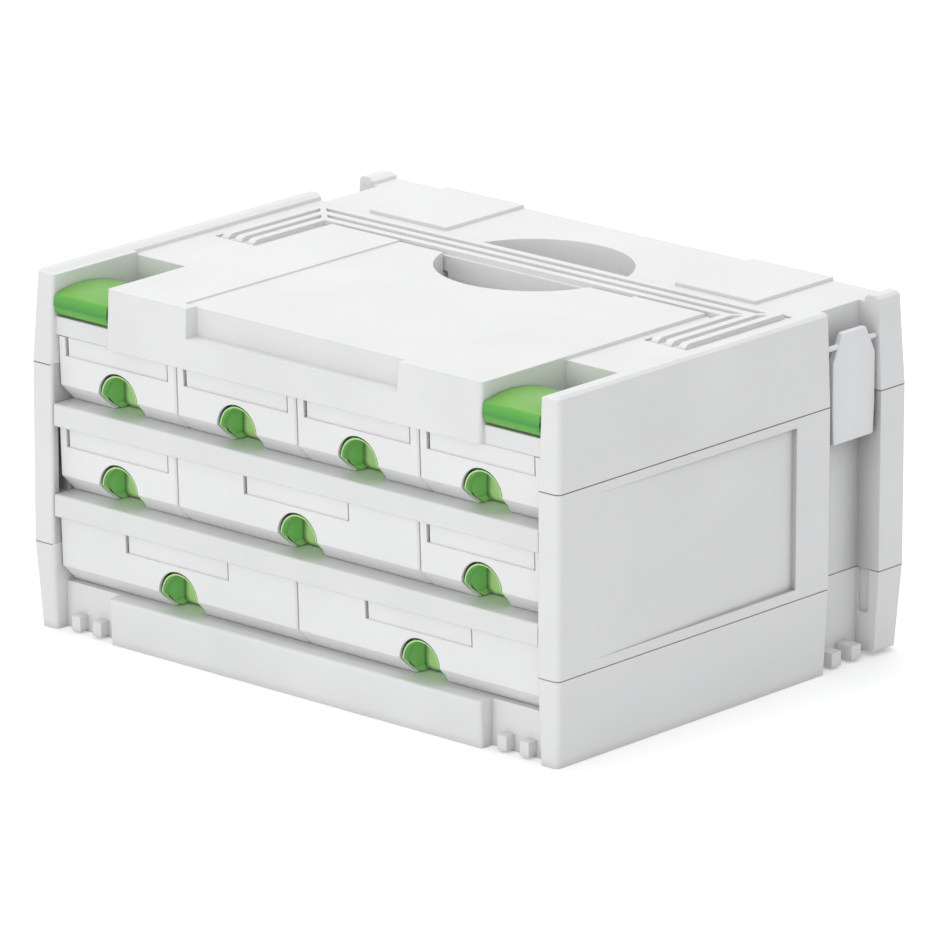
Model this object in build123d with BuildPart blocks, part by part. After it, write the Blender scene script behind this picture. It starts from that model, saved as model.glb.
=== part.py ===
"""Stackable drawer organizer case: three moulded housing sections, two shelves, nine drawers with
finger grips, a folding carry handle and four swing latches.

Millimetres. X points right, Y back and Z up. The origin is the middle of the footprint, on the
surface that the case stands on.
"""
import os
from math import cos, radians, sin, sqrt, tan

from build123d import *

os.makedirs("parts", exist_ok=True)

# Housing
case_width = 395.0
case_depth = 295.0
base_height = 51.0
middle_height = 105.5
cover_height = 53.5
base_taper = 3.0  # inset of every side at the foot of the base
cover_taper = 2.5  # inset of every side at the top of the cover
corner_radius = 3.5
top_chamfer = 1.8
wall = 3.0
side_wall = 6.0  # thick enough for the grip recess
seam_height = 0.6  # shadow gap between two housing sections
seam_depth = 1.0

# Front posts
post_width = 15.65
post_depth = 24.0
post_radius = 2.6  # inner front edge
post_flange = 5.5  # front flange beside the middle row
post_pocket = 8.5  # pocket behind that flange

# Channels for the side latches, between the sides and the rear posts
rear_post_depth = 22.9
rear_post_lift = 3.0  # the rear posts end this far above the ground
channel_width = 44.2
channel_depth = 16.4
channel_wall = 2.5
post_slot_width = 8.0  # shallow slot in the foot of each rear post
post_slot_height = 26.0
post_slot_depth = 2.0
post_slot_radius = 2.5
post_slot_margin = 1.0

# Wedge-shaped grip recess in each side of the middle section
grip_recess_front = 29.5  # behind the front
grip_recess_rear = 28.4  # ahead of the channel
grip_recess_depth = 3.0
grip_recess_margin = 6.0  # band left below and above it

# Foot of the base: hollow below, with an apron and two latch bays with catch teeth in front
bottom_floor_z = 27.2
latch_bay_width = 41.85
latch_bay_depth = 11.7
apron_radius = 2.0
floor_rib = 3.0
floor_rib_height = 4.0
floor_rib_columns = 4
floor_rib_rows = 3
tooth_width = 6.5
tooth_height = 8.5
tooth_lift = 1.5
tooth_setback = 2.0
tooth_pitch = 16.2
side_tooth_width = 8.0
side_tooth_pitch = 17.4
side_tooth_depth = 12.0

# Drawer rows and shelves
fascia_rise = 16.9  # lower front edge of the cover, above its seam
nosing_height = 13.4
nosing_setback = 1.5
nosing_thickness = 5.0
nosing_radius = 1.5
shelf_thickness = 3.0
shelf_fit = 0.3
shelf_rail_thickness = 3.0
shelf_rail_bearing = 2.6  # width of shelf that lies on a rail
guide_width = 3.2
guide_height = 7.0

# Drawers
columns = 4
row_spans = {"bottom": (2, 2), "middle": (1, 2, 1), "top": (1, 1, 1, 1)}  # columns per drawer
drawer_setback = 5.5
drawer_rear_gap = 36.5
drawer_gap = 0.8  # between two neighbours
drawer_floor_gap = 0.3
drawer_head_gap = 0.7
drawer_wall = 2.2
drawer_lean = 2.5  # degrees that the front leans back towards its foot
head_depth = 15.0  # full-width front of the drawer
foot_chamfer = 10.2
front_chamfer = 1.0  # both ends of a drawer front
tray_inset = 3.2  # tray sides, behind the sides of the front

# Finger grips
niche_radius = 15.0
niche_sides = 32  # flat sides of the round hole, which keep its faces few
niche_rise = 9.5  # middle of the round hole, above the foot of the drawer
niche_depth = 20.0
liner_wall = 1.7
liner_fit = 0.1
rim_setback = 3.4  # leaves a shadow gap behind the drawer front

# Label slots, open at the top of the drawers
slot_length = 79.0
slot_foot = 28.0  # height above the floor of the row
slot_depth = 1.0
slot_backing = 1.4
slot_slit = 1.6  # slit for the edge of a card at both ends

# Lid, with depths measured from the top of its side rims
rim_width = 10.0
rim_slope = 55.0  # degrees that the inner side of a rim leans out
lid_drop = 4.0
block_drop = 2.0
block_radius = 2.5
panel_drop = 3.0
panel_margin = 52.0  # from the ends of the centre block
notch_margin = 61.0
notch_depth = 11.0
notch_drop = 19.0
pad_width = 59.0
pad_overhang = 5.0  # beyond the ends of the centre block
pad_gap = 6.5  # behind the handle
pivot_wall = 4.5  # walls that hold a pivot

# Pivot pins of the handle and the latches
pin_radius = 2.5
pin_length = 3.0
pin_clearance = 0.05
pin_end_gap = 0.4

# Front latches: crowned tongues that lie back in their pockets
latch_pocket_depth = 71.5
latch_pocket_drop = 30.0
latch_ledge_setback = 2.5
front_pivot_setback = 8.5
front_pivot_drop = 19.5
front_barrel_radius = 6.0
front_nose_radius = 2.5
tongue_reach = 53.0  # from the pivot to the tip
tongue_thickness = 3.5
tongue_radius = 6.0
crown_radius = 80.0
crown_rise = 9.8  # highest point above the pivot
crown_reach = 16.0  # highest point behind the pivot
latch_side_gap = 0.7
latch_floor_gap = 0.6

# Side latches: shouldered plates that hang in the channels
side_pivot_inset = 4.5
side_pivot_drop = 22.0
side_pin_radius = 1.6
side_latch_offset = 1.5  # the plate hangs this far behind the middle of its channel
side_latch_width = 36.6
side_latch_thickness = 4.0
side_latch_above = 7.6
side_latch_below = 56.0
side_latch_top_width = 20.0
side_latch_shoulder = 16.0
side_latch_foot_width = 34.6
side_latch_taper = 18.0
side_latch_radius = 3.0

# Carry handle and the finger bowl below its bar
handle_margin = 5.85  # from the inner faces of the posts
handle_rear_gap = 76.0  # from the back of the case
handle_arm = 88.5
handle_drop = 2.0
handle_gap = 0.8
band_width = 30.0
band_thickness = 9.0
ridge_count = 3
ridge_width = 5.2
ridge_height = 3.0
ridge_margin = 2.6
web_width = 3.5  # joins the ridges across each corner
grip_half = 52.0  # thick middle of the bar
grip_depth = 7.0
grip_radius = 5.0
bowl_radius = 57.0
bowl_drop = 33.0
bowl_chamfer = 8.0

# Tie screws that hold the three housing sections together
screw_radius = 2.2
screw_clearance = 0.2
screw_head_radius = 4.2
screw_head_height = 3.5
screw_recess = 9.0
screw_inset = 9.5  # from the side of the case
screw_post_inset = 5.1  # from the back of the front posts
screw_cover_reach = 14.0

# Places worked out from the sizes above
half_width = case_width / 2
front_y = -case_depth / 2
rear_y = case_depth / 2
base_top = base_height
middle_top = base_top + middle_height
cover_top = middle_top + cover_height
opening_half = half_width - post_width
post_back_y = front_y + post_depth
bay_half = half_width - side_wall
bay_rear_y = rear_y - wall
channel_rear_y = rear_y - rear_post_depth
channel_front_y = channel_rear_y - channel_width
channel_mid_y = channel_rear_y - channel_width / 2
channel_floor_x = half_width - channel_depth
channel_inner_x = channel_floor_x - channel_wall
recess_rear_y = channel_front_y - grip_recess_rear
apron_half = opening_half - latch_bay_width
latch_bay_x = opening_half - latch_bay_width / 2
bay_back_y = front_y + latch_bay_depth
foot_wall = base_taper + wall
fascia_z = middle_top + fascia_rise
fascia_back_y = front_y + cover_taper + wall
row_pitch = (fascia_z - bottom_floor_z + nosing_height) / 3
row_floors = [bottom_floor_z + row * row_pitch for row in range(3)]
opening_height = row_pitch - nosing_height
nosing_y = front_y + nosing_setback
column_width = 2 * opening_half / columns
drawer_front_y = front_y + drawer_setback
drawer_rear_y = bay_rear_y - drawer_rear_gap
drawer_height = opening_height - drawer_floor_gap - drawer_head_gap
head_back_y = drawer_front_y + head_depth
lean_angle = radians(drawer_lean)
guide_front_y = head_back_y + guide_width
guide_length = drawer_rear_y - guide_front_y
guide_mid_y = (drawer_rear_y + guide_front_y) / 2
rim_inner = half_width - cover_taper - rim_width
lid_z = cover_top - lid_drop
block_z = cover_top - block_drop
panel_half = apron_half - panel_margin
notch_half = apron_half - notch_margin
notch_z = cover_top - notch_drop
notch_back_y = front_y + notch_depth
pocket_rear_y = front_y + latch_pocket_depth
pocket_z = cover_top - latch_pocket_drop
front_pivot_y = front_y + front_pivot_setback
front_pivot_z = cover_top - front_pivot_drop
barrel_back_y = front_pivot_y + front_barrel_radius
ledge_y = front_y + cover_taper + latch_ledge_setback
ledge_z = front_pivot_z - front_barrel_radius - latch_floor_gap
side_pivot_x = half_width - side_pivot_inset
side_pivot_z = cover_top - side_pivot_drop
handle_half = opening_half - handle_margin
handle_inner = handle_half - band_width
handle_rear_y = rear_y - handle_rear_gap
handle_front_y = handle_rear_y - handle_arm
handle_end_radius = (band_thickness + ridge_height) / 2
handle_z = cover_top - handle_drop - 2 * handle_end_radius
handle_pivot_y = handle_front_y + handle_end_radius
handle_pivot_z = handle_z + handle_end_radius
bar_front_y = handle_rear_y - band_width - handle_gap
recess_z = handle_z - handle_gap
bowl_y = handle_rear_y - band_width / 2
bowl_z = cover_top - bowl_drop
ridge_pitch = (band_width - 2 * ridge_margin - ridge_width) / (ridge_count - 1)
pad_outer = apron_half + pad_overhang
pad_inner = pad_outer - pad_width
pad_front_y = handle_rear_y + pad_gap
screw_x = half_width - screw_inset
screw_ys = (post_back_y - screw_post_inset, (channel_rear_y + rear_y) / 2)
screw_places = [(side * screw_x, y) for side in (-1, 1) for y in screw_ys]


def rectangle_between(x0, x1, y0, y1, mode=Mode.ADD):
    """A sketch rectangle given by its edges."""
    with Locations(((x0 + x1) / 2, (y0 + y1) / 2)):
        Rectangle(x1 - x0, y1 - y0, mode=mode)


def mirrored_rectangles(x0, x1, y0, y1):
    """The same rectangle on the right and on the left of the case."""
    rectangle_between(x0, x1, y0, y1)
    rectangle_between(-x1, -x0, y0, y1)


def bay_plan():
    """Plan of the drawer bay: between the posts, between the sides, between the channels."""
    rectangle_between(-opening_half, opening_half, front_y - wall, post_back_y)
    rectangle_between(-bay_half, bay_half, post_back_y, channel_front_y - wall)
    rectangle_between(-channel_inner_x, channel_inner_x, channel_front_y - wall, bay_rear_y)


def channel_plan(grow=0.0):
    """Plan of the two side channels, open to the outside."""
    mirrored_rectangles(
        channel_floor_x - grow, half_width + wall, channel_front_y - grow, channel_rear_y + grow
    )


def seam_plan():
    """Plan of the shadow gap that runs round the housing and through its channels."""
    Rectangle(case_width + wall, case_depth + wall)
    RectangleRounded(
        case_width - 2 * seam_depth, case_depth - 2 * seam_depth, corner_radius, mode=Mode.SUBTRACT
    )
    channel_plan(seam_depth)


def screw_plan(radius):
    """One circle round each tie screw."""
    with Locations(*screw_places):
        Circle(radius)


def leaning_outline(half, foot_z, top_z, foot_inset, top_inset):
    """Upright cut through a housing section, whose two sides lean in."""
    Polygon(
        (foot_inset - half, foot_z),
        (half - foot_inset, foot_z),
        (half - top_inset, top_z),
        (top_inset - half, top_z),
    )


def upright_edges(section):
    """All edges of a housing section that stand up, or nearly so."""
    return [edge for edge in section.edges() if abs(edge.tangent_at(0.5).Z) > 0.9]


def front_edges(section, x):
    """Upright edges in the front of a housing section, at x on both sides of its middle."""
    return [
        edge
        for edge in upright_edges(section)
        if abs(abs(edge.center().X) - x) < seam_depth
        and edge.center().Y < front_y + base_taper
        and edge.length > post_radius
    ]


# Base: tapered foot, hollow below, with the floor of the bottom row, an apron and two latch bays
with BuildPart() as base_tray:
    with BuildSketch(Plane.XZ):
        leaning_outline(half_width, 0, base_top, base_taper, 0)
    extrude(amount=case_depth / 2, both=True)
    with BuildSketch(Plane.YZ):
        leaning_outline(case_depth / 2, 0, base_top, base_taper, 0)
    extrude(amount=half_width, both=True, mode=Mode.INTERSECT)
    fillet(upright_edges(base_tray), corner_radius)
    with BuildSketch(Plane.XY.offset(bottom_floor_z)):
        bay_plan()
    extrude(amount=base_top - bottom_floor_z, mode=Mode.SUBTRACT)
    with BuildSketch(Plane.XY):
        channel_plan()
        mirrored_rectangles(apron_half, opening_half, front_y - wall, bay_back_y)
    extrude(amount=base_top, mode=Mode.SUBTRACT)
    fillet(front_edges(base_tray, opening_half), post_radius)
    apron_face = base_tray.faces().filter_by(lambda face: abs(face.center().X) < wall).sort_by(Axis.Y)[0]
    fillet([edge for edge in apron_face.edges() if edge.center().Z > apron_radius], apron_radius)
    with BuildSketch(Plane.XY):
        mirrored_rectangles(channel_floor_x, half_width, channel_rear_y, rear_y)
    extrude(amount=rear_post_lift, mode=Mode.SUBTRACT)
    # hollow below the floor, with shallow ribs
    with BuildSketch(Plane.XY):
        rectangle_between(wall - apron_half, apron_half - wall, front_y + foot_wall, bay_back_y + wall)
        rectangle_between(-opening_half, opening_half, bay_back_y + wall, post_back_y + wall)
        rectangle_between(
            base_taper - bay_half, bay_half - base_taper, post_back_y + wall, channel_front_y - wall
        )
        rectangle_between(-channel_inner_x, channel_inner_x, channel_front_y - wall, rear_y - foot_wall)
    extrude(amount=bottom_floor_z - wall, mode=Mode.SUBTRACT)
    with BuildSketch(Plane.XY.offset(bottom_floor_z - wall)):
        with GridLocations(2 * channel_inner_x / floor_rib_columns, 0, floor_rib_columns - 1, 1):
            Rectangle(floor_rib, case_depth - 2 * foot_wall)
        with GridLocations(0, case_depth / floor_rib_rows, 1, floor_rib_rows - 1):
            Rectangle(2 * channel_inner_x, floor_rib)
    extrude(amount=-floor_rib_height)
    # catch teeth in the latch bays and in the channels
    with BuildSketch(Plane.XY.offset(tooth_lift)):
        for side in (-1, 1):
            for step in (-0.5, 0.5):
                tooth_x = side * latch_bay_x + step * tooth_pitch
                tooth_y = channel_mid_y + step * side_tooth_pitch
                rectangle_between(
                    tooth_x - tooth_width / 2,
                    tooth_x + tooth_width / 2,
                    front_y + base_taper + tooth_setback,
                    bay_back_y,
                )
                mirrored_rectangles(
                    channel_floor_x,
                    channel_floor_x + side_tooth_depth,
                    tooth_y - side_tooth_width / 2,
                    tooth_y + side_tooth_width / 2,
                )
    extrude(amount=tooth_height)
    # guide rib between the two bottom drawers
    with BuildSketch(Plane.XY.offset(bottom_floor_z)):
        with Locations((0, guide_mid_y)):
            Rectangle(guide_width, guide_length)
    extrude(amount=guide_height)
    # shallow slot, round at its foot, in the front of each rear post
    with BuildSketch(Plane.XZ.offset(-channel_rear_y)):
        for side in (-1, 1):
            slot_x = side * (channel_floor_x + post_slot_margin + post_slot_width / 2)
            with Locations((slot_x, base_top)):
                RectangleRounded(post_slot_width, 2 * post_slot_height, post_slot_radius)
    extrude(amount=-post_slot_depth, mode=Mode.SUBTRACT)
    with BuildSketch(Plane.XY):
        screw_plan(screw_radius + screw_clearance)
    extrude(amount=base_top, mode=Mode.SUBTRACT)
    with BuildSketch(Plane.XY):
        screw_plan(screw_head_radius + screw_clearance)
    extrude(amount=screw_recess, mode=Mode.SUBTRACT)
    with BuildSketch(Plane.XY.offset(base_top - seam_height)):
        seam_plan()
    extrude(amount=seam_height, mode=Mode.SUBTRACT)
base_tray.part.label = "base_tray"
export_step(base_tray.part, "parts/base_tray.step")


# Middle section: frame open in front, with rails for the shelves and a grip recess on each side
with BuildPart() as middle_frame:
    with BuildSketch(Plane.XY.offset(base_top)):
        RectangleRounded(case_width, case_depth, corner_radius)
    extrude(amount=middle_height)
    with BuildSketch(Plane.XY.offset(base_top)):
        bay_plan()
        channel_plan()
        screw_plan(screw_radius + screw_clearance)
    extrude(amount=middle_height, mode=Mode.SUBTRACT)
    fillet(front_edges(middle_frame, opening_half), post_radius)
    with BuildSketch(Plane.XY.offset(base_top + grip_recess_margin)):
        for side in (-1, 1):
            with BuildLine():
                Polyline(
                    (side * half_width, front_y + grip_recess_front),
                    (side * half_width, recess_rear_y),
                    (side * (half_width - grip_recess_depth), recess_rear_y),
                    close=True,
                )
            make_face()
    extrude(amount=middle_height - 2 * grip_recess_margin, mode=Mode.SUBTRACT)
    for shelf_z in row_floors[1:]:
        with BuildSketch(Plane.XY.offset(shelf_z - shelf_thickness)):
            mirrored_rectangles(
                opening_half - shelf_rail_bearing, bay_half, post_back_y, channel_front_y - wall
            )
            rectangle_between(
                -channel_inner_x, channel_inner_x, bay_rear_y - shelf_rail_bearing, bay_rear_y
            )
        extrude(amount=-shelf_rail_thickness)
    with BuildSketch(Plane.XY.offset(row_floors[1])):
        mirrored_rectangles(
            opening_half, bay_half, front_y + post_flange, front_y + post_flange + post_pocket
        )
    extrude(amount=opening_height, mode=Mode.SUBTRACT)
    with BuildSketch(Plane.XY.offset(middle_top - seam_height)):
        seam_plan()
    extrude(amount=seam_height, mode=Mode.SUBTRACT)
middle_frame.part.label = "middle_frame"
export_step(middle_frame.part, "parts/middle_frame.step")


def handle_recess_plan(side_grow, end_grow):
    """Plan of the U-shaped handle recess, grown sideways and at its ends."""
    mirrored_rectangles(
        handle_inner - side_grow,
        handle_half + side_grow,
        handle_front_y - end_grow,
        handle_rear_y + end_grow,
    )
    rectangle_between(
        -handle_half, handle_half, handle_rear_y - band_width - end_grow, handle_rear_y + end_grow
    )


# Cover: tapered lid with latch pockets, a notch, the handle recess and a finger bowl in its top
with BuildPart() as top_cover:
    with BuildSketch(Plane.XZ):
        leaning_outline(half_width, middle_top, cover_top, 0, cover_taper)
    extrude(amount=case_depth / 2, both=True)
    with BuildSketch(Plane.YZ):
        leaning_outline(case_depth / 2, middle_top, cover_top, 0, cover_taper)
    extrude(amount=half_width, both=True, mode=Mode.INTERSECT)
    fillet(upright_edges(top_cover), corner_radius)
    chamfer(top_cover.faces().sort_by(Axis.Z)[-1].edges(), top_chamfer)
    with BuildSketch(Plane.XY.offset(middle_top)):
        bay_plan()
    extrude(amount=fascia_rise, mode=Mode.SUBTRACT)
    # hollow of the lid, above the drawers
    with BuildSketch(Plane.XY.offset(fascia_z)):
        rectangle_between(pivot_wall - apron_half, apron_half - pivot_wall, fascia_back_y, post_back_y)
        rectangle_between(-bay_half, bay_half, post_back_y, channel_front_y - wall)
        rectangle_between(
            -channel_inner_x, channel_inner_x, channel_front_y - wall, bay_rear_y - cover_taper
        )
    extrude(amount=lid_z - wall - fascia_z, mode=Mode.SUBTRACT)
    # walls of the latch pockets, the notch, the handle recess and the bowl
    with BuildSketch(Plane.XY.offset(pocket_z - wall)):
        mirrored_rectangles(apron_half - pivot_wall, bay_half, post_back_y, pocket_rear_y + wall)
    extrude(amount=lid_z - pocket_z + wall)
    with BuildSketch(Plane.XY.offset(notch_z - wall)):
        rectangle_between(-notch_half - wall, notch_half + wall, fascia_back_y, notch_back_y + wall)
    extrude(amount=lid_z - notch_z + wall)
    with BuildSketch(Plane.XY.offset(recess_z - wall)):
        handle_recess_plan(handle_gap + pivot_wall, handle_gap + wall)
    extrude(amount=lid_z - recess_z + wall)
    with BuildSketch(Plane.XY.offset(bowl_z - wall)):
        with Locations((0, bowl_y)):
            Circle(bowl_radius + wall)
    extrude(amount=lid_z - bowl_z + wall)
    # the top steps down from the side rims to the centre block, its panel and the lid plane
    with BuildSketch(Plane.XY.offset(block_z)):
        rectangle_between(-rim_inner, rim_inner, front_y, rear_y)
    extrude(amount=block_drop, taper=-rim_slope, mode=Mode.SUBTRACT)
    with BuildSketch(Plane.XY.offset(lid_z)):
        mirrored_rectangles(apron_half, rim_inner, pocket_rear_y, pad_front_y)
        rectangle_between(-rim_inner, rim_inner, bar_front_y, pad_front_y)
        rectangle_between(-pad_inner, pad_inner, pad_front_y, rear_y)
        mirrored_rectangles(pad_outer, rim_inner, pad_front_y, rear_y)
    extrude(amount=lid_drop, mode=Mode.SUBTRACT)
    with BuildSketch(Plane.XY.offset(cover_top - panel_drop)):
        rectangle_between(-panel_half, panel_half, notch_back_y, bar_front_y)
    extrude(amount=panel_drop, mode=Mode.SUBTRACT)
    # latch pockets, deeper behind a set-back ledge, then notch, handle recess, bowl and channels
    with BuildSketch(Plane.XY.offset(ledge_z)):
        mirrored_rectangles(apron_half, opening_half, front_y, pocket_rear_y)
    extrude(amount=cover_top - ledge_z, mode=Mode.SUBTRACT)
    with BuildSketch(Plane.XY.offset(pocket_z)):
        mirrored_rectangles(apron_half, opening_half, barrel_back_y, pocket_rear_y)
    extrude(amount=ledge_z - pocket_z, mode=Mode.SUBTRACT)
    with BuildSketch(Plane.XY.offset(fascia_z)):
        mirrored_rectangles(apron_half, opening_half, front_y, ledge_y)
    extrude(amount=ledge_z - fascia_z, mode=Mode.SUBTRACT)
    fillet(front_edges(top_cover, opening_half), post_radius)
    fillet(front_edges(top_cover, apron_half), block_radius)
    with BuildSketch(Plane.XY.offset(notch_z)):
        rectangle_between(-notch_half, notch_half, front_y, notch_back_y)
    extrude(amount=notch_drop, mode=Mode.SUBTRACT)
    with BuildSketch(Plane.XY.offset(recess_z)):
        handle_recess_plan(handle_gap, handle_gap)
    extrude(amount=cover_top - recess_z, mode=Mode.SUBTRACT)
    with BuildSketch(Plane.XZ.offset(-bowl_y)) as half_bowl:
        rectangle_between(0, bowl_radius, bowl_z, cover_top)
        chamfer(half_bowl.vertices().sort_by(Axis.Y)[:2].sort_by(Axis.X)[-1], bowl_chamfer)
    revolve(axis=Axis((0, bowl_y, 0), (0, 0, 1)), mode=Mode.SUBTRACT)
    with BuildSketch(Plane.XY.offset(middle_top)):
        channel_plan()
    extrude(amount=cover_height, mode=Mode.SUBTRACT)
    # pivot holes of the front latches, the handle and the side latches, and the screw holes
    for side in (-1, 1):
        with BuildSketch(Plane.YZ.offset(side * latch_bay_x)):
            with Locations((front_pivot_y, front_pivot_z)):
                Circle(pin_radius + pin_clearance)
        extrude(amount=latch_bay_width / 2 + pin_length, both=True, mode=Mode.SUBTRACT)
        with BuildSketch(Plane.YZ.offset(side * handle_half)):
            with Locations((handle_pivot_y, handle_pivot_z)):
                Circle(pin_radius + pin_clearance)
        extrude(amount=side * (handle_gap + pin_length), mode=Mode.SUBTRACT)
        with BuildSketch(Plane.XZ.offset(-channel_mid_y)):
            with Locations((side * side_pivot_x, side_pivot_z)):
                Circle(side_pin_radius + pin_clearance)
        extrude(amount=channel_width / 2 + pin_length, both=True, mode=Mode.SUBTRACT)
    with BuildSketch(Plane.XY.offset(middle_top)):
        screw_plan(screw_radius + screw_clearance)
    extrude(amount=screw_cover_reach + screw_clearance, mode=Mode.SUBTRACT)
top_cover.part.label = "top_cover"
export_step(top_cover.part, "parts/top_cover.step")


def make_shelf(label, floor_z, spans):
    """A shelf with a rounded nosing in front and a guide rib between each two drawers."""
    with BuildPart() as shelf:
        with BuildSketch(Plane.YZ.offset(shelf_fit - opening_half)):
            rectangle_between(nosing_y, nosing_y + nosing_thickness, floor_z - nosing_height, floor_z)
            rectangle_between(nosing_y, bay_rear_y - shelf_fit, floor_z - shelf_thickness, floor_z)
        extrude(amount=2 * (opening_half - shelf_fit))
        fillet(shelf.edges().filter_by(Axis.X).group_by(Axis.Y)[0], nosing_radius)
        with BuildSketch(Plane.XY.offset(floor_z)):
            mirrored_rectangles(
                channel_inner_x - shelf_fit, half_width, channel_front_y - wall - shelf_fit, rear_y
            )
        extrude(amount=-shelf_thickness, mode=Mode.SUBTRACT)
        with BuildSketch(Plane.XY.offset(floor_z)):
            for count in range(1, len(spans)):
                with Locations((column_width * sum(spans[:count]) - opening_half, guide_mid_y)):
                    Rectangle(guide_width, guide_length)
        extrude(amount=guide_height)
    shelf.part.label = label
    export_step(shelf.part, f"parts/{label}.step")


make_shelf("lower_shelf", row_floors[1], row_spans["middle"])
make_shelf("upper_shelf", row_floors[2], row_spans["top"])


def face_line(foot_z, setback):
    """Points (y, z) down the leaning face and the foot chamfer of a drawer front."""
    chamfer_y = drawer_front_y + setback + tan(lean_angle) * (drawer_height - foot_chamfer)
    return [
        (drawer_front_y + setback, foot_z + drawer_height),
        (chamfer_y, foot_z + foot_chamfer),
        (chamfer_y + foot_chamfer, foot_z),
    ]


def arch(middle_x, foot_z, radius):
    """Round outline of a finger grip, cut off at the foot of its drawer."""
    hole_z = foot_z + niche_rise
    with Locations((middle_x, hole_z)):
        RegularPolygon(radius, niche_sides)
    rectangle_between(middle_x - radius, middle_x + radius, foot_z, hole_z + radius, mode=Mode.INTERSECT)


def make_drawer(label, foot_z, middle_x, span):
    """An open tray behind a wider, leaning front with a label slot and an arch for the grip."""
    top_z = foot_z + drawer_height
    half_front = (span * column_width - drawer_gap) / 2
    half_tray = half_front - tray_inset
    half_slot = slot_length / 2 + slot_backing
    slot_z = foot_z - drawer_floor_gap + slot_foot
    slot_height = top_z - slot_z
    with BuildPart() as drawer:
        with BuildSketch(Plane.YZ.offset(middle_x - half_front)):
            with BuildLine():
                Polyline(*face_line(foot_z, 0), (head_back_y, foot_z), (head_back_y, top_z), close=True)
            make_face()
        extrude(amount=2 * half_front)
        with BuildSketch(Plane.XY.offset(foot_z)):
            rectangle_between(middle_x - half_tray, middle_x + half_tray, head_back_y, drawer_rear_y)
        extrude(amount=drawer_height)
        offset(
            amount=-drawer_wall,
            openings=drawer.faces().sort_by(Axis.Z)[-1],
            kind=Kind.INTERSECTION,
        )
        sides = drawer.faces().filter_by(Axis.X).sort_by(Axis.X)
        ends = (sides[0], sides[-1])
        chamfer([edge for end in ends for edge in end.edges().sort_by(Axis.Y)[:2]], front_chamfer)
        # label slot: a backing behind the front wall, then the slot and its slits, square to the face
        with BuildSketch(Plane.XY.offset(slot_z - slot_backing)):
            rectangle_between(
                middle_x - half_slot,
                middle_x + half_slot,
                drawer_front_y + drawer_wall / 2,
                drawer_front_y + slot_depth + slot_backing + tan(lean_angle) * slot_height,
            )
        extrude(amount=slot_height + slot_backing)
        face_plane = Plane(
            origin=(middle_x, drawer_front_y, top_z),
            x_dir=(1, 0, 0),
            z_dir=(0, -cos(lean_angle), -sin(lean_angle)),
        )
        with BuildSketch(face_plane):
            Rectangle(slot_length, 2 * slot_height)
        extrude(amount=-slot_depth, mode=Mode.SUBTRACT)
        with BuildSketch(face_plane):
            with GridLocations(slot_length - slot_slit, 0, 2, 1):
                Rectangle(slot_slit, 2 * slot_height)
        extrude(amount=-slot_depth - 2 * slot_backing, mode=Mode.SUBTRACT)
        with BuildSketch(Plane.XZ.offset(-drawer_front_y)):
            arch(middle_x, foot_z, niche_radius)
        extrude(amount=-niche_depth - liner_wall - liner_fit, mode=Mode.SUBTRACT)
    drawer.part.label = label
    export_step(drawer.part, f"parts/{label}.step")


def make_grip(label, foot_z, middle_x):
    """A thin arched cup, closed behind, that lines the finger hole of a drawer."""
    outer_radius = niche_radius - liner_fit
    with BuildPart() as grip:
        with BuildSketch(Plane.XZ.offset(-drawer_front_y)):
            arch(middle_x, foot_z, outer_radius)
        extrude(amount=-niche_depth - liner_wall)
        with BuildSketch(Plane.XZ.offset(-drawer_front_y)):
            arch(middle_x, foot_z, outer_radius - liner_wall)
        extrude(amount=-niche_depth, mode=Mode.SUBTRACT)
        with BuildSketch(Plane.YZ.offset(middle_x - outer_radius)):
            with BuildLine():
                Polyline(
                    *face_line(foot_z, rim_setback),
                    (front_y, foot_z),
                    (front_y, foot_z + drawer_height),
                    close=True,
                )
            make_face()
        extrude(amount=2 * outer_radius, mode=Mode.SUBTRACT)
    grip.part.label = label
    export_step(grip.part, f"parts/{label}.step")


for row_name, floor_z in zip(row_spans, row_floors):
    drawer_x = -opening_half
    for number, span in enumerate(row_spans[row_name], start=1):
        drawer_x += span * column_width / 2
        make_drawer(f"{row_name}_drawer_{number}", floor_z + drawer_floor_gap, drawer_x, span)
        make_grip(f"{row_name}_grip_{number}", floor_z + drawer_floor_gap, drawer_x)
        drawer_x += span * column_width / 2


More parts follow.
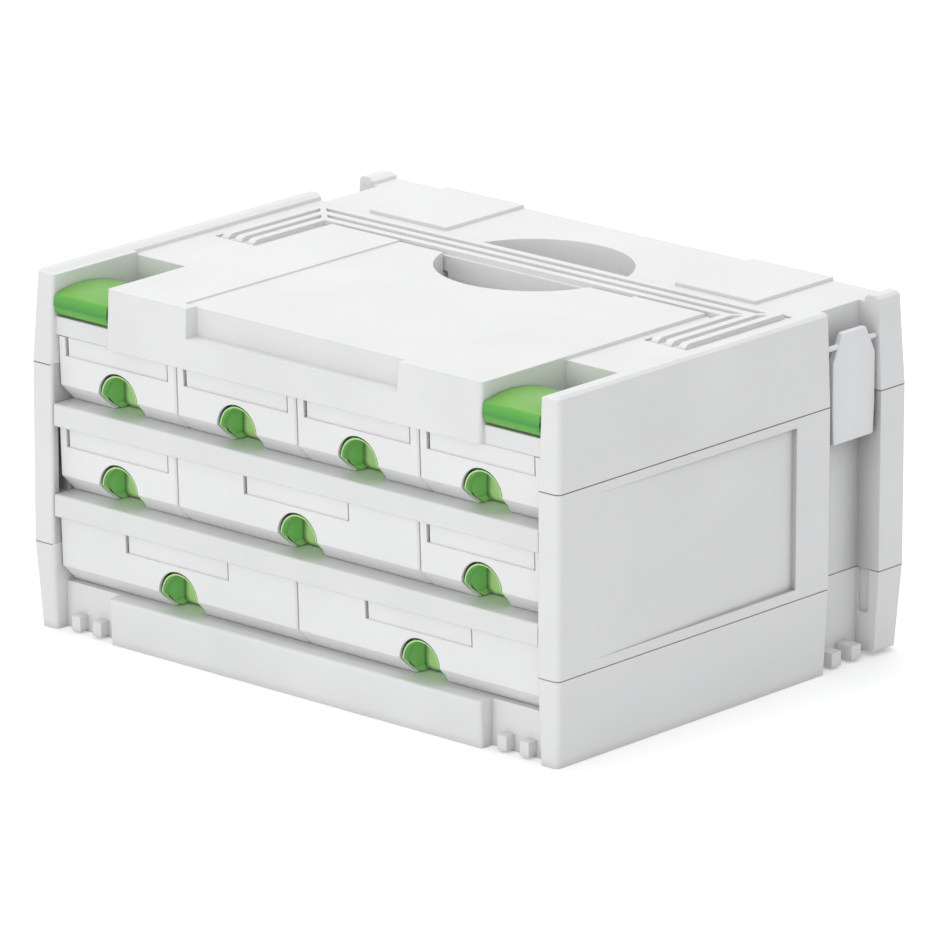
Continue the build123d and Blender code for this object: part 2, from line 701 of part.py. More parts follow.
# Carry handle: a flat bail with three ridges that run round it, hinged at the ends of its arms
with BuildPart() as carry_handle:
    with BuildSketch(Plane.XY.offset(handle_z)):
        rectangle_between(-handle_half, handle_half, handle_front_y, handle_rear_y)
    extrude(amount=band_thickness)
    with BuildSketch(Plane.XY.offset(handle_z + band_thickness)):
        for count in range(ridge_count):
            outset = ridge_margin + count * ridge_pitch
            inset = outset + ridge_width
            rectangle_between(
                outset - handle_half, handle_half - outset, handle_front_y, handle_rear_y - outset
            )
            rectangle_between(
                inset - handle_half, handle_half - inset, handle_front_y, handle_rear_y - inset, Mode.SUBTRACT
            )
        for side in (-1, 1):
            corner_x = side * (handle_half - band_width / 2)
            with Locations(Location((corner_x, bowl_y), side * -45)):
                Rectangle(web_width, sqrt(2) * (band_width - 2 * ridge_margin - web_width))
    extrude(amount=ridge_height)
    with BuildSketch(Plane.XY.offset(handle_z)):
        rectangle_between(-handle_inner, handle_inner, handle_front_y, handle_rear_y - band_width)
    extrude(amount=2 * handle_end_radius, mode=Mode.SUBTRACT)
    with BuildSketch(Plane.YZ.offset(-handle_half)):
        with Locations((handle_pivot_y, handle_pivot_z)):
            Circle(handle_end_radius)
        rectangle_between(handle_pivot_y, handle_rear_y, handle_z, handle_z + 2 * handle_end_radius)
    extrude(amount=2 * handle_half, mode=Mode.INTERSECT)
    with BuildSketch(Plane.YZ):
        with Locations((bowl_y, handle_z)):
            RectangleRounded(band_width, 2 * grip_depth, grip_radius)
    extrude(amount=grip_half, both=True)
    for side in (-1, 1):
        with BuildSketch(Plane.YZ.offset(side * handle_half)):
            with Locations((handle_pivot_y, handle_pivot_z)):
                Circle(pin_radius)
        extrude(amount=side * (handle_gap + pin_length - pin_end_gap))
carry_handle.part.label = "carry_handle"
export_step(carry_handle.part, "parts/carry_handle.step")


def make_front_latch(label, side):
    """A crowned tongue that lies back from a barrel along the front of its pocket."""
    half_latch = latch_bay_width / 2 - latch_side_gap
    latch_plane = Plane.YZ.offset(side * latch_bay_x - half_latch)
    nose_y = front_pivot_y - front_barrel_radius
    tip_y = front_pivot_y + tongue_reach
    top_z = front_pivot_z + crown_rise
    crown_centre = (front_pivot_y + crown_reach, top_z - crown_radius)
    with BuildPart() as latch:
        with BuildSketch(latch_plane):
            with Locations(crown_centre):
                Circle(crown_radius)
                Circle(crown_radius - tongue_thickness, mode=Mode.SUBTRACT)
            rectangle_between(nose_y, tip_y, front_pivot_z - crown_rise, top_z, mode=Mode.INTERSECT)
        extrude(amount=2 * half_latch)
        tip_face = latch.faces().sort_by(Axis.Y)[-1]
        fillet([edge for edge in tip_face.edges() if abs(edge.tangent_at(0.5).Z) > 0.9], tongue_radius)
        with BuildSketch(latch_plane):
            rectangle_between(nose_y, barrel_back_y, front_pivot_z, top_z)
            with Locations(crown_centre):
                Circle(crown_radius, mode=Mode.INTERSECT)
            with Locations((front_pivot_y, front_pivot_z)):
                Circle(front_barrel_radius)
        extrude(amount=2 * half_latch)
        nose_edges = [edge for edge in latch.edges().filter_by(Axis.X) if edge.center().Z > front_pivot_z]
        fillet(min(nose_edges, key=lambda edge: edge.center().Y), front_nose_radius)
        with BuildSketch(Plane.YZ.offset(side * latch_bay_x)):
            with Locations((front_pivot_y, front_pivot_z)):
                Circle(pin_radius)
        extrude(amount=latch_bay_width / 2 + pin_length - pin_end_gap, both=True)
    latch.part.label = label
    export_step(latch.part, f"parts/{label}.step")


make_front_latch("front_latch_left", -1)
make_front_latch("front_latch_right", 1)


def make_side_latch(label, side):
    """A shouldered plate that hangs in a side channel from stub pins near its top."""
    top_z = side_pivot_z + side_latch_above
    foot_z = side_pivot_z - side_latch_below
    plate_y = channel_mid_y + side_latch_offset
    half_latch = side_latch_width / 2
    half_top = side_latch_top_width / 2
    half_foot = side_latch_foot_width / 2
    with BuildPart() as latch:
        with BuildSketch(Plane.YZ.offset(side * side_pivot_x)):
            with BuildLine():
                Polyline(
                    (plate_y - half_top, top_z),
                    (plate_y + half_top, top_z),
                    (plate_y + half_latch, top_z - side_latch_shoulder),
                    (plate_y + half_latch, foot_z + side_latch_taper),
                    (plate_y + half_foot, foot_z),
                    (plate_y - half_foot, foot_z),
                    (plate_y - half_latch, foot_z + side_latch_taper),
                    (plate_y - half_latch, top_z - side_latch_shoulder),
                    close=True,
                )
            plate = make_face()
            fillet(plate.vertices(), side_latch_radius)
        extrude(amount=side_latch_thickness / 2, both=True)
        with BuildSketch(Plane.XZ.offset(-channel_mid_y)):
            with Locations((side * side_pivot_x, side_pivot_z)):
                Circle(side_pin_radius)
        extrude(amount=channel_width / 2 + pin_length - pin_end_gap, both=True)
    latch.part.label = label
    export_step(latch.part, f"parts/{label}.step")


make_side_latch("side_latch_left", -1)
make_side_latch("side_latch_right", 1)


# Tie screws: up through the base and the middle section into the cover
with BuildPart() as tie_screws:
    with BuildSketch(Plane.XY.offset(screw_recess - screw_head_height)):
        screw_plan(screw_head_radius)
    extrude(amount=screw_head_height)
    with BuildSketch(Plane.XY.offset(screw_recess)):
        screw_plan(screw_radius)
    extrude(amount=middle_top + screw_cover_reach - screw_recess)
tie_screws.part.label = "tie_screws"
export_step(tie_screws.part, "parts/tie_screws.step")
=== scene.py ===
import bpy
from math import atan2, radians, tan
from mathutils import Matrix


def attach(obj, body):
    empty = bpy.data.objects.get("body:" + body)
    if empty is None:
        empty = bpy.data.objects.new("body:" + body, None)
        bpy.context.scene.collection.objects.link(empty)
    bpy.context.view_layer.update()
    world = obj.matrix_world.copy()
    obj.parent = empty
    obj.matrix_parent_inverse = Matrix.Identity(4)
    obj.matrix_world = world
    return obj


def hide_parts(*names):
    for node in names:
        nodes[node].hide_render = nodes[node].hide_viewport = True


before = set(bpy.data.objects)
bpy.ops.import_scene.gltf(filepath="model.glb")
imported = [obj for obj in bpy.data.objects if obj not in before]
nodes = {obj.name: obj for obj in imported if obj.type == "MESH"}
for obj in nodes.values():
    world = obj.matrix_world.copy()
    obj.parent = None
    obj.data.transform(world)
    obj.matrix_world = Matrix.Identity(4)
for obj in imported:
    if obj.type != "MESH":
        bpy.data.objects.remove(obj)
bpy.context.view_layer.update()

# Base and middle section: two hollow mouldings, stacked with a fine seam between them and clamped
# by long screws in their corner posts. Injection-moulded ABS in a pale grey, with the fine matt
# grain of an eroded mould.


def moulded_plastic(name, tones, roughness, edge_radius, grain, painted_shade, painted_shade_reach=0.025):
    """A moulded plastic: two close tones in soft clouds, a fine grain, edges worn a little lighter,
    and painted shade that darkens its colour in corners, creases and recesses."""
    roughness_spread = 0.06
    edge_wear = 0.35
    worn_tone = [min(0.95, level * 1.12 + 0.02) for level in tones[1]]

    material = bpy.data.materials.new(name)
    material.use_nodes = True
    tree = material.node_tree
    shader = tree.nodes["Principled BSDF"]
    place = tree.nodes.new("ShaderNodeTexCoord")

    clouds = tree.nodes.new("ShaderNodeTexNoise")
    clouds.inputs["Scale"].default_value = 14.0
    clouds.inputs["Detail"].default_value = 4.0
    tree.links.new(place.outputs["Object"], clouds.inputs["Vector"])
    tone = tree.nodes.new("ShaderNodeValToRGB")
    tone.color_ramp.elements[0].position = 0.35
    tone.color_ramp.elements[0].color = (*tones[0], 1.0)
    tone.color_ramp.elements[1].position = 0.65
    tone.color_ramp.elements[1].color = (*tones[1], 1.0)
    tree.links.new(clouds.outputs["Fac"], tone.inputs["Fac"])

    soft_edge = tree.nodes.new("ShaderNodeBevel")
    soft_edge.samples = 8
    soft_edge.inputs["Radius"].default_value = edge_radius
    flat = tree.nodes.new("ShaderNodeNewGeometry")
    turned = tree.nodes.new("ShaderNodeVectorMath")
    turned.operation = "DOT_PRODUCT"
    tree.links.new(soft_edge.outputs["Normal"], turned.inputs[0])
    tree.links.new(flat.outputs["True Normal"], turned.inputs[1])
    edge = tree.nodes.new("ShaderNodeMapRange")
    edge.inputs["From Min"].default_value = 0.99
    edge.inputs["From Max"].default_value = 0.72
    edge.inputs["To Max"].default_value = edge_wear
    tree.links.new(turned.outputs["Value"], edge.inputs["Value"])
    worn = tree.nodes.new("ShaderNodeMix")
    worn.data_type = "RGBA"
    worn.inputs["B"].default_value = (*worn_tone, 1.0)
    tree.links.new(edge.outputs["Result"], worn.inputs["Factor"])
    tree.links.new(tone.outputs["Color"], worn.inputs["A"])

    # Painted shade: ambient occlusion darkens the colour in corners, creases and recesses, where shade
    # falls.
    crevice_occlusion = tree.nodes.new("ShaderNodeAmbientOcclusion")
    crevice_occlusion.samples = 8
    crevice_occlusion.inputs["Distance"].default_value = painted_shade_reach
    painted_shade_level = tree.nodes.new("ShaderNodeMapRange")
    painted_shade_level.inputs["From Min"].default_value = 0.4
    painted_shade_level.inputs["From Max"].default_value = 0.95
    painted_shade_level.inputs["To Min"].default_value = 1.0 - painted_shade
    tree.links.new(crevice_occlusion.outputs["AO"], painted_shade_level.inputs["Value"])
    with_painted_shade = tree.nodes.new("ShaderNodeMix")
    with_painted_shade.data_type = "RGBA"
    with_painted_shade.blend_type = "MULTIPLY"
    with_painted_shade.inputs["Factor"].default_value = 1.0
    tree.links.new(worn.outputs["Result"], with_painted_shade.inputs["A"])
    tree.links.new(painted_shade_level.outputs["Result"], with_painted_shade.inputs["B"])
    tree.links.new(with_painted_shade.outputs["Result"], shader.inputs["Base Color"])

    polish = tree.nodes.new("ShaderNodeTexNoise")
    polish.inputs["Scale"].default_value = 55.0
    polish.inputs["Detail"].default_value = 6.0
    tree.links.new(place.outputs["Object"], polish.inputs["Vector"])
    sheen = tree.nodes.new("ShaderNodeMapRange")
    sheen.inputs["To Min"].default_value = roughness - roughness_spread
    sheen.inputs["To Max"].default_value = roughness + roughness_spread
    tree.links.new(polish.outputs["Fac"], sheen.inputs["Value"])
    tree.links.new(sheen.outputs["Result"], shader.inputs["Roughness"])

    pits = tree.nodes.new("ShaderNodeTexNoise")
    pits.inputs["Scale"].default_value = 1500.0
    pits.inputs["Detail"].default_value = 2.0
    tree.links.new(place.outputs["Object"], pits.inputs["Vector"])
    relief = tree.nodes.new("ShaderNodeBump")
    relief.inputs["Strength"].default_value = grain
    relief.inputs["Distance"].default_value = 0.0001
    tree.links.new(pits.outputs["Fac"], relief.inputs["Height"])
    tree.links.new(soft_edge.outputs["Normal"], relief.inputs["Normal"])
    tree.links.new(relief.outputs["Normal"], shader.inputs["Normal"])
    return material


def dress(name, material):
    """Puts one material on all of a CAD node."""
    mesh = nodes[name].data
    mesh.materials.clear()
    mesh.materials.append(material)


housing_tones = [(0.765, 0.765, 0.765), (0.80, 0.80, 0.80)]
# Painted shade in the corners: strong and far-reaching in the middle frame, where it shades the side
# channels; slight and close in the base tray.
for section, painted_shade, painted_shade_reach in (("base_tray", 0.2, 0.006), ("middle_frame", 0.45, 0.025)):
    section_plastic = moulded_plastic(
        f"{section}_plastic",
        housing_tones,
        roughness=0.5,
        edge_radius=0.0007,
        grain=0.25,
        painted_shade=painted_shade,
        painted_shade_reach=painted_shade_reach,
    )
    dress(section, section_plastic)

# Shelves: two flat mouldings that slide in on rails and carry the middle and the top row.
# The same ABS as the housing, but smoother. Their rounded nosings show between the rows.
# Painted shade: the shelf tones are a little darker than the housing's, to shade the nosings, and a
# little painted shade darkens its corners.
shelf_plastic = moulded_plastic(
    "shelf_plastic",
    [(0.745, 0.745, 0.745), (0.78, 0.78, 0.78)],
    roughness=0.42,
    edge_radius=0.0006,
    grain=0.15,
    painted_shade=0.08,
)
for shelf in ("lower_shelf", "upper_shelf"):
    dress(shelf, shelf_plastic)

# Drawers: nine open trays, moulded in one piece with their leaning fronts and label slots.
# A smoother, slightly whiter polystyrene than the housing. They slide on the shelves.
# A little painted shade darkens its corners.
drawer_plastic = moulded_plastic(
    "drawer_plastic",
    [(0.81, 0.81, 0.81), (0.84, 0.84, 0.84)],
    roughness=0.4,
    edge_radius=0.0006,
    grain=0.1,
    painted_shade=0.05,
)
drawer_columns = {"bottom": (2, 2), "middle": (1, 2, 1), "top": (1, 1, 1, 1)}  # columns that each takes
for row, spans in drawer_columns.items():
    for number in range(1, len(spans) + 1):
        dress(f"{row}_drawer_{number}", drawer_plastic)

# Finger grips: green wells behind the round finger holes of the drawer fronts, each with a thin
# round collar that stands in its hole. Glossy polypropylene that lets some light through.
collar_radius = 0.0136
collar_depth = 0.007
grip_wall = 0.0009
grip_rounding = 0.0003
hole_rise = 0.0095  # its middle, above the foot of the drawer
collar_setback = 0.0010
well_setback = 0.0034
well_front = 0.0035
well_depth = 0.0217
well_foot = -0.005  # cut off level with the foot of the drawer, so that it stays open below
well_top = 0.0232
well_top_radius = 0.009
well_foot_chamfer = 0.0072
front_lean = tan(radians(2.5))
foot_slope_top = 0.0102
drawer_height = 0.0388
drawer_front = -0.142
drawer_feet = {"bottom": 0.0275, "middle": 0.0807, "top": 0.1339}
row_left = -0.18185
column_width = 0.090925


def new_piece(name):
    """Takes the object just added as the start of a piece, with its place in its mesh."""
    piece = bpy.context.object
    piece.name = name
    bpy.ops.object.transform_apply(location=True, rotation=True, scale=True)
    return piece


def start_picking(kind):
    """Leaves nothing selected in the mesh, and points, edges or faces as what is selected next."""
    bpy.ops.object.mode_set(mode="EDIT")
    bpy.ops.mesh.select_mode(type=kind)
    bpy.ops.mesh.select_all(action="DESELECT")
    bpy.ops.object.mode_set(mode="OBJECT")


def pick_faces(piece, wanted):
    """Goes into edit mode with just the faces selected for which wanted(face) holds."""
    start_picking("FACE")
    for face in piece.data.polygons:
        face.select = wanted(face)
    bpy.ops.object.mode_set(mode="EDIT")


def pick_edges(piece, wanted):
    """Goes into edit mode with just the edges selected for which wanted(start, end) holds."""
    start_picking("EDGE")
    points = piece.data.vertices
    for edge in piece.data.edges:
        edge.select = wanted(points[edge.vertices[0]].co, points[edge.vertices[1]].co)
    bpy.ops.object.mode_set(mode="EDIT")


def give_wall(piece, thickness):
    """Turns an open skin into a wall that lies inside it."""
    bpy.ops.object.mode_set(mode="OBJECT")
    wall = piece.modifiers.new("wall", "SOLIDIFY")
    wall.thickness = thickness
    wall.offset = -1.0
    bpy.ops.object.modifier_apply(modifier="wall")


def round_edges(piece, width, segments, angle):
    """Rounds every edge of a piece that is sharper than the angle, and smooths the rest."""
    bpy.ops.object.mode_set(mode="OBJECT")
    rounding = piece.modifiers.new("rounding", "BEVEL")
    rounding.width = width
    rounding.segments = segments
    rounding.limit_method = "ANGLE"
    rounding.angle_limit = radians(angle)
    bpy.ops.object.modifier_apply(modifier="rounding")
    bpy.ops.object.shade_smooth_by_angle(angle=radians(angle))


def join_to(piece, addition):
    """Makes an addition part of a piece's mesh."""
    addition.select_set(True)
    piece.select_set(True)
    bpy.context.view_layer.objects.active = piece
    bpy.ops.object.join()


def copy_to(piece, place, name):
    """Makes a copy of a finished piece, with a mesh of its own, moved by place."""
    bpy.ops.object.select_all(action="DESELECT")
    piece.select_set(True)
    bpy.context.view_layer.objects.active = piece
    bpy.ops.object.duplicate()
    bpy.ops.transform.translate(value=place)
    return new_piece(name)


def trim_to_front(setback):
    """Cuts a grip's part off at the foot of its drawer, and behind both slopes of the drawer front."""
    slope_y = setback + front_lean * (drawer_height - foot_slope_top)
    for through, towards in (
        ((0.0, 0.0, 0.0), (0.0, 0.0, 1.0)),
        ((0.0, slope_y, foot_slope_top), (0.0, 1.0, front_lean)),
        ((0.0, slope_y, foot_slope_top), (0.0, 1.0, 1.0)),
    ):
        bpy.ops.mesh.select_all(action="SELECT")
        bpy.ops.mesh.bisect(plane_co=through, plane_no=towards, use_fill=True, clear_inner=True)


def runs_back(start, end):
    """Whether an edge of the well runs from its front to its back."""
    return abs(start.y - end.y) > (well_depth - well_front) / 2


def let_light_through_and_paint_shade(material, axis, pale_turn, deep_turn, shade_tint):
    """Lets a little light travel inside a green plastic, and paints shade into its colour: darker
    and deeper where a face turns towards the axis by as much as deep_turn than where it turns by
    pale_turn."""
    tree = material.node_tree
    shader = tree.nodes["Principled BSDF"]
    shader.inputs["Subsurface Weight"].default_value = 0.3
    shader.inputs["Subsurface Radius"].default_value = (0.4, 1.0, 0.25)
    shader.inputs["Subsurface Scale"].default_value = 0.003

    place = tree.nodes.new("ShaderNodeTexCoord")
    facing = tree.nodes.new("ShaderNodeSeparateXYZ")
    tree.links.new(place.outputs["Normal"], facing.inputs["Vector"])
    either_way = tree.nodes.new("ShaderNodeMath")
    either_way.operation = "ABSOLUTE"
    tree.links.new(facing.outputs[axis], either_way.inputs[0])
    depth = tree.nodes.new("ShaderNodeMapRange")
    depth.inputs["From Min"].default_value = pale_turn
    depth.inputs["From Max"].default_value = deep_turn
    tree.links.new(either_way.outputs["Value"], depth.inputs["Value"])
    # Painted shade: the colour is multiplied by a darker tint on faces by how they turn towards the
    # axis.
    facing_shade = tree.nodes.new("ShaderNodeMix")
    facing_shade.data_type = "RGBA"
    facing_shade.blend_type = "MULTIPLY"
    facing_shade.inputs["B"].default_value = (*shade_tint, 1.0)
    tree.links.new(depth.outputs["Result"], facing_shade.inputs["Factor"])
    tree.links.new(shader.inputs["Base Color"].links[0].from_socket, facing_shade.inputs["A"])
    tree.links.new(facing_shade.outputs["Result"], shader.inputs["Base Color"])


bpy.ops.object.select_all(action="DESELECT")
bpy.ops.mesh.primitive_cylinder_add(
    vertices=96,
    radius=collar_radius,
    depth=collar_depth,
    end_fill_type="NOTHING",
    location=(0.0, collar_depth / 2, hole_rise),
    rotation=(radians(90.0), 0.0, 0.0),
)
collar = new_piece("grip_collar")
give_wall(collar, grip_wall)
bpy.ops.object.mode_set(mode="EDIT")
trim_to_front(collar_setback)
round_edges(collar, grip_rounding, segments=3, angle=35.0)

bpy.ops.object.select_all(action="DESELECT")
bpy.ops.mesh.primitive_cube_add(
    size=1.0,
    location=(0.0, (well_front + well_depth) / 2, (well_foot + well_top) / 2),
    scale=(2 * collar_radius, well_depth - well_front, well_top - well_foot),
)
grip = new_piece("finger_grip")
pick_edges(grip, lambda start, end: runs_back(start, end) and start.z > hole_rise)
bpy.ops.mesh.bevel(offset=well_top_radius, segments=10, affect="EDGES")
pick_edges(grip, lambda start, end: runs_back(start, end) and start.z < 0.0)
bpy.ops.mesh.bevel(offset=well_foot_chamfer, segments=1, affect="EDGES")
pick_faces(grip, lambda face: face.normal.y < -0.9)
bpy.ops.mesh.inset(thickness=grip_wall)
bpy.ops.mesh.extrude_region_move(
    TRANSFORM_OT_translate={"value": (0.0, well_depth - well_front - grip_wall, 0.0)}
)
trim_to_front(well_setback)
round_edges(grip, grip_rounding, segments=3, angle=35.0)
join_to(grip, collar)

# Painted light: the grip tones are painted much paler than the latch green of the same plastic, for
# light falling into the wells. A strong, close painted shade draws a dark line along the well's
# creases.
grip_green = moulded_plastic(
    "grip_green",
    [(0.54, 0.86, 0.35), (0.58, 0.90, 0.38)],
    roughness=0.3,
    edge_radius=0.0004,
    grain=0.04,
    painted_shade=0.95,
    painted_shade_reach=0.003,
)
# Painted shade: the side walls of the well are painted darker than its back wall.
let_light_through_and_paint_shade(grip_green, "X", pale_turn=0.3, deep_turn=0.9, shade_tint=(0.48, 0.72, 0.55))
grip.data.materials.append(grip_green)

for row, spans in drawer_columns.items():
    passed = 0
    for number, span in enumerate(spans, start=1):
        grip_x = row_left + (passed + span / 2) * column_width
        row_grip = copy_to(
            grip, (grip_x, drawer_front, drawer_feet[row]), f"{row}_finger_grip_{number}"
        )
        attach(row_grip, f"{row}_{number}")
        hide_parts(f"{row}_grip_{number}")
        passed += span
bpy.data.objects.remove(grip)

# Cover: the lid with its rims, latch pockets, finger notch and handle bowl, moulded in one piece.
# The same ABS as the sections below it, with less painted shade in its corners, held down by the long
# screws.
cover_plastic = moulded_plastic(
    "cover_plastic", housing_tones, roughness=0.5, edge_radius=0.0008, grain=0.25, painted_shade=0.06
)
dress("top_cover", cover_plastic)

# Carry handle: a flat bail that lies in the lid, stiffened by three ridges all round.
# Same plastic as the cover; it swings on stub pins at the ends of its arms.
dress("carry_handle", cover_plastic)

# Front latches: crowned green tongues with a rolled nose, on a barrel with stub pins at both ends.
# Glossy polypropylene in the green of the grips, snapped into the pockets of the cover.
tongue_half_width = 0.020225
tongue_wall = 0.0035
tongue_tip_radius = 0.006
tongue_tip_y = -0.086
crown_radius = 0.080
crown_y, crown_z = -0.123, 0.1203
nose_y = -0.145
nose_radius = 0.0056
barrel_radius = 0.006
barrel_y, barrel_z = -0.139, 0.1905
latch_pin_radius = 0.0025
latch_pin_reach = 0.023525
latch_x = 0.160925
near = 0.0002  # a point this close to a line counts as on it


def pick_points(piece, wanted):
    """Goes into edit mode with just the points selected for which wanted(place) holds."""
    start_picking("VERT")
    for point in piece.data.vertices:
        point.select = wanted(point.co)
    bpy.ops.object.mode_set(mode="EDIT")
    bpy.ops.mesh.select_mode(type="EDGE")


def crown_height(y):
    """Height of the crowned face of a tongue."""
    return crown_z + (crown_radius**2 - (y - crown_y) ** 2) ** 0.5


tip_z = crown_height(tongue_tip_y)
nose_z = crown_height(nose_y)
tip_turn = atan2(tongue_tip_y - crown_y, tip_z - crown_z)
nose_turn = atan2(nose_y - crown_y, nose_z - crown_z)

bpy.ops.object.select_all(action="DESELECT")
bpy.ops.mesh.primitive_plane_add(
    size=2 * tongue_half_width, location=(0.0, tongue_tip_y + tongue_half_width, tip_z)
)
tongue = new_piece("front_latch")
pick_points(tongue, lambda place: place.y > tongue_tip_y + tongue_half_width)
bpy.ops.mesh.select_mode(type="VERT")
bpy.ops.mesh.delete(type="VERT")
bpy.ops.mesh.select_all(action="SELECT")
bpy.ops.mesh.spin(
    steps=28, angle=-(tip_turn - nose_turn), center=(0.0, crown_y, crown_z), axis=(1.0, 0.0, 0.0)
)
pick_points(tongue, lambda place: place.y < nose_y + near)
bpy.ops.mesh.extrude_region_move(TRANSFORM_OT_translate={"value": (0.0, 0.0, barrel_z - nose_z)})
pick_points(tongue, lambda place: place.y < nose_y + near and place.z > nose_z - near)
bpy.ops.mesh.bevel(offset=nose_radius, segments=12, affect="EDGES")
pick_points(tongue, lambda place: place.y > tongue_tip_y - near)
bpy.ops.mesh.bevel(offset=tongue_tip_radius, segments=8, affect="VERTICES")
bpy.ops.mesh.select_all(action="SELECT")
bpy.ops.mesh.normals_make_consistent(inside=False)
give_wall(tongue, tongue_wall)
round_edges(tongue, width=0.0006, segments=3, angle=40.0)

for barrel_name, radius, reach in (
    ("latch_barrel", barrel_radius, tongue_half_width),
    ("latch_pins", latch_pin_radius, latch_pin_reach),
):
    bpy.ops.object.select_all(action="DESELECT")
    bpy.ops.mesh.primitive_cylinder_add(
        vertices=64,
        radius=radius,
        depth=2 * reach,
        location=(0.0, barrel_y, barrel_z),
        rotation=(0.0, radians(90.0), 0.0),
    )
    barrel = new_piece(barrel_name)
    round_edges(barrel, width=0.0004, segments=2, angle=40.0)
    join_to(tongue, barrel)

# Painted shade darkens its corners.
latch_green = moulded_plastic(
    "latch_green",
    [(0.175, 0.455, 0.072), (0.195, 0.485, 0.083)],
    roughness=0.36,
    edge_radius=0.0004,
    grain=0.04,
    painted_shade=0.3,
)
# Painted shade: faces that turn away from up, such as the front of the nose, are painted a darker,
# deeper green than the top of the tongue.
let_light_through_and_paint_shade(latch_green, "Z", pale_turn=0.9, deep_turn=0.0, shade_tint=(0.43, 0.84, 0.75))
tongue.data.materials.append(latch_green)

for side, x in (("left", -latch_x), ("right", latch_x)):
    side_tongue = copy_to(tongue, (x, 0.0, 0.0), f"front_latch_tongue_{side}")
    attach(side_tongue, f"front_latch_{side}_body")
    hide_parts(f"front_latch_{side}")
bpy.data.objects.remove(tongue)

# Side latches: shouldered white plates that hang in the side channels on stub pins near their tops.
# Smooth acetal, a little cooler than the housing, with softly rounded edges.
plate_top_z = 0.1956
plate_shoulder = 0.016
plate_foot_z = 0.132
plate_taper = 0.018
plate_top_width = 0.020
plate_width = 0.0366
plate_foot_width = 0.0346
plate_thickness = 0.004
plate_x = 0.193
plate_y = 0.104
plate_pin_y = 0.1025
plate_pin_z = 0.188
plate_pin_radius = 0.0016
plate_pin_reach = 0.0247

bpy.ops.object.select_all(action="DESELECT")
bpy.ops.mesh.primitive_plane_add(
    size=plate_top_width,
    location=(plate_thickness / 2, 0.0, plate_top_z),
    rotation=(0.0, radians(90.0), 0.0),
)
plate = new_piece("side_latch")
pick_points(plate, lambda place: place.z > plate_top_z)
bpy.ops.mesh.select_mode(type="VERT")
bpy.ops.mesh.delete(type="VERT")
bpy.ops.mesh.select_all(action="SELECT")
bpy.ops.transform.translate(value=(0.0, 0.0, plate_top_width / 2))
for width_before, width_after, step in (
    (plate_top_width, plate_width, plate_shoulder),
    (plate_width, plate_width, plate_top_z - plate_foot_z - plate_shoulder - plate_taper),
    (plate_width, plate_foot_width, plate_taper),
):
    bpy.ops.mesh.extrude_region_move(TRANSFORM_OT_translate={"value": (0.0, 0.0, -step)})
    bpy.ops.transform.resize(value=(1.0, width_after / width_before, 1.0))
bpy.ops.mesh.select_all(action="SELECT")
bpy.ops.mesh.select_mode(type="VERT")
bpy.ops.mesh.normals_make_consistent(inside=False)
give_wall(plate, plate_thickness)

bpy.ops.object.select_all(action="DESELECT")
bpy.ops.mesh.primitive_cylinder_add(
    vertices=48,
    radius=plate_pin_radius,
    depth=2 * plate_pin_reach,
    location=(0.0, plate_pin_y - plate_y, plate_pin_z),
    rotation=(radians(90.0), 0.0, 0.0),
)
plate_pins = new_piece("side_latch_pins")
join_to(plate, plate_pins)
round_edges(plate, width=0.0009, segments=4, angle=15.0)

# Painted shade darkens its corners.
latch_plastic = moulded_plastic(
    "latch_plastic",
    [(0.79, 0.80, 0.805), (0.83, 0.84, 0.845)],
    roughness=0.4,
    edge_radius=0.0006,
    grain=0.1,
    painted_shade=0.3,
)
plate.data.materials.append(latch_plastic)

for side, x in (("left", -plate_x), ("right", plate_x)):
    side_plate = copy_to(plate, (x, plate_y, 0.0), f"side_latch_plate_{side}")
    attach(side_plate, f"side_latch_{side}_body")
    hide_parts(f"side_latch_{side}")
bpy.data.objects.remove(plate)

# Tie screws: four long screws that clamp the three housing sections, driven from below.
# Zinc-plated steel, with the fine marks of rolling.
screw_steel = bpy.data.materials.new("screw_steel")
screw_steel.use_nodes = True
steel_tree = screw_steel.node_tree
steel = steel_tree.nodes["Principled BSDF"]
steel.inputs["Metallic"].default_value = 1.0
steel_place = steel_tree.nodes.new("ShaderNodeTexCoord")
steel_marks = steel_tree.nodes.new("ShaderNodeTexNoise")
steel_marks.inputs["Scale"].default_value = 700.0
steel_tree.links.new(steel_place.outputs["Object"], steel_marks.inputs["Vector"])
steel_tone = steel_tree.nodes.new("ShaderNodeValToRGB")
steel_tone.color_ramp.elements[0].color = (0.48, 0.49, 0.50, 1.0)
steel_tone.color_ramp.elements[1].color = (0.66, 0.66, 0.67, 1.0)
steel_tree.links.new(steel_marks.outputs["Fac"], steel_tone.inputs["Fac"])
steel_tree.links.new(steel_tone.outputs["Color"], steel.inputs["Base Color"])
steel_sheen = steel_tree.nodes.new("ShaderNodeMapRange")
steel_sheen.inputs["To Min"].default_value = 0.25
steel_sheen.inputs["To Max"].default_value = 0.45
steel_tree.links.new(steel_marks.outputs["Fac"], steel_sheen.inputs["Value"])
steel_tree.links.new(steel_sheen.outputs["Result"], steel.inputs["Roughness"])
dress("tie_screws", screw_steel)

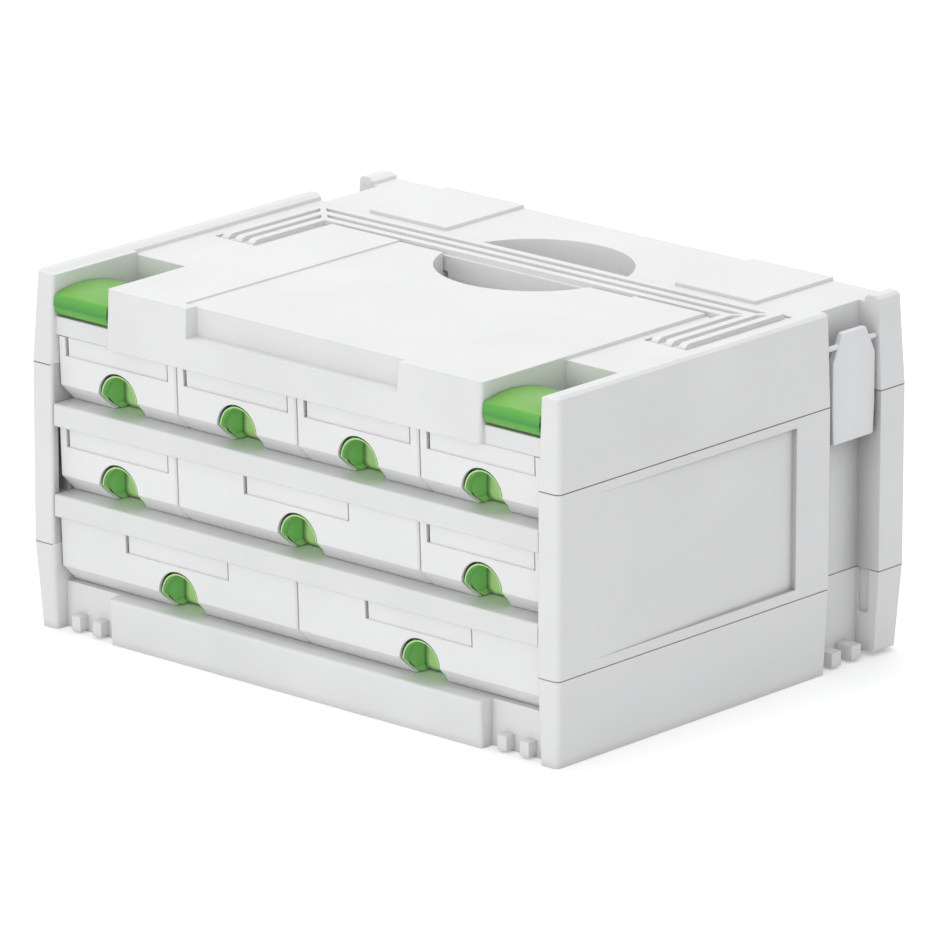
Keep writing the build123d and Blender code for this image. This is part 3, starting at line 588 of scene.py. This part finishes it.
# Studio: a plain white sweep, an even white surround, a large softbox overhead and one in front.
# The camera stands to the right of the front, well back, with a long lens.
bpy.ops.object.select_all(action="DESELECT")
bpy.ops.mesh.primitive_plane_add(size=8.0, location=(0.0, 0.0, 0.0))
floor = bpy.context.object
floor.name = "studio_floor"
floor_paper = bpy.data.materials.new("floor_paper")
floor_paper.use_nodes = True
paper_tree = floor_paper.node_tree
paper = paper_tree.nodes["Principled BSDF"]
paper.inputs["Base Color"].default_value = (0.86, 0.86, 0.86, 1.0)
paper.inputs["Roughness"].default_value = 0.8
paper.inputs["Specular IOR Level"].default_value = 0.1
paper.inputs["Emission Color"].default_value = (1.0, 1.0, 1.0, 1.0)
paper_rays = paper_tree.nodes.new("ShaderNodeLightPath")
paper_lift = paper_tree.nodes.new("ShaderNodeMapRange")
paper_lift.inputs["To Max"].default_value = 0.3
paper_tree.links.new(paper_rays.outputs["Is Camera Ray"], paper_lift.inputs["Value"])
paper_tree.links.new(paper_lift.outputs["Result"], paper.inputs["Emission Strength"])
floor.data.materials.append(floor_paper)

surround = bpy.data.worlds.new("studio_surround")
bpy.context.scene.world = surround
surround.use_nodes = True
sky = surround.node_tree
glow = sky.nodes["Background"]
glow.inputs["Color"].default_value = (0.985, 0.994, 1.0, 1.0)
glow.inputs["Strength"].default_value = 0.78
backdrop = sky.nodes.new("ShaderNodeBackground")
backdrop.inputs["Color"].default_value = (1.0, 1.0, 1.0, 1.0)
backdrop.inputs["Strength"].default_value = 1.0
rays = sky.nodes.new("ShaderNodeLightPath")
seen = sky.nodes.new("ShaderNodeMath")
seen.operation = "MAXIMUM"
sky.links.new(rays.outputs["Is Camera Ray"], seen.inputs[0])
sky.links.new(rays.outputs["Is Glossy Ray"], seen.inputs[1])
seen_all = sky.nodes.new("ShaderNodeMath")
seen_all.operation = "MAXIMUM"
sky.links.new(seen.outputs["Value"], seen_all.inputs[0])
sky.links.new(rays.outputs["Is Transmission Ray"], seen_all.inputs[1])
choose = sky.nodes.new("ShaderNodeMixShader")
sky.links.new(seen_all.outputs["Value"], choose.inputs["Fac"])
sky.links.new(glow.outputs["Background"], choose.inputs[1])
sky.links.new(backdrop.outputs["Background"], choose.inputs[2])
sky.links.new(choose.outputs["Shader"], sky.nodes["World Output"].inputs["Surface"])

for lamp_name, watts, lamp_place, tilt, heading in (
    ("overhead_softbox", 11.5, (-0.25, 0.15, 1.95), 9.5, -121.0),
    ("front_softbox", 12.0, (0.25, -2.60, 0.55), 80.0, 6.0),
):
    softbox = bpy.data.lights.new(lamp_name, "AREA")
    softbox.shape = "RECTANGLE"
    softbox.size = 1.4
    softbox.size_y = 1.0
    softbox.energy = watts
    softbox_stand = bpy.data.objects.new(lamp_name, softbox)
    softbox_stand.location = lamp_place
    softbox_stand.rotation_euler = (radians(tilt), 0.0, radians(heading))
    bpy.context.scene.collection.objects.link(softbox_stand)

long_lens = bpy.data.cameras.new("long_lens")
long_lens.lens = 377.94
long_lens.sensor_width = 36.0
long_lens.clip_end = 50.0
tripod = bpy.data.objects.new("tripod", long_lens)
tripod.location = (3.535845, -3.956882, 1.691363)
tripod.rotation_euler = (radians(73.2945), radians(-0.0528), radians(41.7860))
bpy.context.scene.collection.objects.link(tripod)
bpy.context.scene.camera = tripod
bpy.context.scene.view_settings.view_transform = "Standard"
